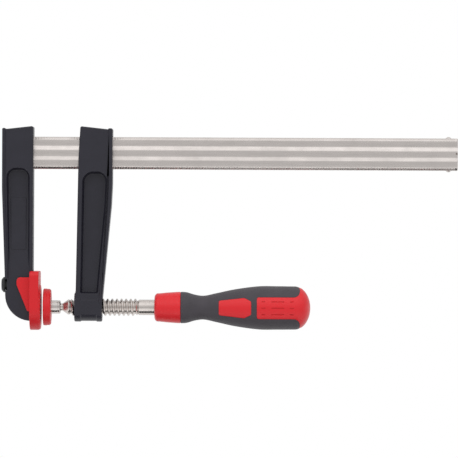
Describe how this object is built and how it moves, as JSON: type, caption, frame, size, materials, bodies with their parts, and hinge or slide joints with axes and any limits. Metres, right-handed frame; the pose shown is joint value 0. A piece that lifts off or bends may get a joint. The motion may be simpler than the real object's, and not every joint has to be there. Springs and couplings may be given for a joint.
{
  "type": "f clamp",
  "caption": "Screw clamp for woodworking: grooved steel bar, fixed jaw, arm sliding along the bar, threaded spindle with swivelling pad and two-colour handle.",
  "frame": {"origin": "centre of the fixed jaw's clamping face, on the spindle's axis", "axes": "+X along the bar and the spindle, away from the fixed jaw; +Z from the spindle up to the bar; Y across the thickness"},
  "size_m": [0.3962, 0.04, 0.177],
  "materials": {
    "plated_bar": "satin nickel plating",
    "painted_casting": "satin powder coat",
    "red_plastic": "semi gloss",
    "black_plastic": "satin",
    "plated_spindle": "bright zinc plating",
    "spring_steel": "bright",
    "bronze": "plain",
    "pressed_steel": "zinc plating",
    "soft_grip": "matte"
  },
  "bodies": {
    "fixed_frame": {"bar": "plated_bar", "fixed_jaw": "painted_casting", "fixed_jaw_cap": "red_plastic", "cap_rivet": "black_plastic"},
    "arm": {"sliding_arm": "painted_casting"},
    "ring": {"ball_retaining_ring": "spring_steel"},
    "screw": {"spindle": "plated_spindle", "handle_core": "red_plastic", "handle_grip": "soft_grip"},
    "cup": {"thrust_cup": "bronze"},
    "pad": {"pressure_plate": "pressed_steel", "socket_sleeve": "pressed_steel", "moving_pad_cap": "red_plastic"}
  },
  "joints": [
    {"name": "arm_slide", "type": "slide", "parent": "fixed_frame", "child": "arm", "axis": [1, 0, 0], "range_m": [0, 0.288]},
    {"name": "spindle_feed", "type": "slide", "parent": "arm", "child": "ring", "axis": [1, 0, 0], "range_m": [0, 0.0101]},
    {"name": "spindle_turn", "type": "hinge", "parent": "ring", "child": "screw", "pos_m": [0.0124, 0, 0], "axis": [1, 0, 0], "range_deg": [0, 900]},
    {"name": "pad_swivel", "type": "hinge", "parent": "ring", "child": "cup", "pos_m": [0.0124, 0, 0], "axis": [1, 0, 0], "continuous": true},
    {"name": "pad_tilt", "type": "hinge", "parent": "cup", "child": "pad", "pos_m": [0.0124, 0, 0], "axis": [0, 1, 0], "range_deg": [-6, 6]}
  ],
  "couplings": [
    {"joint": "spindle_feed", "follows": "spindle_turn", "m_per_rad": 0.00063662}
  ]
}
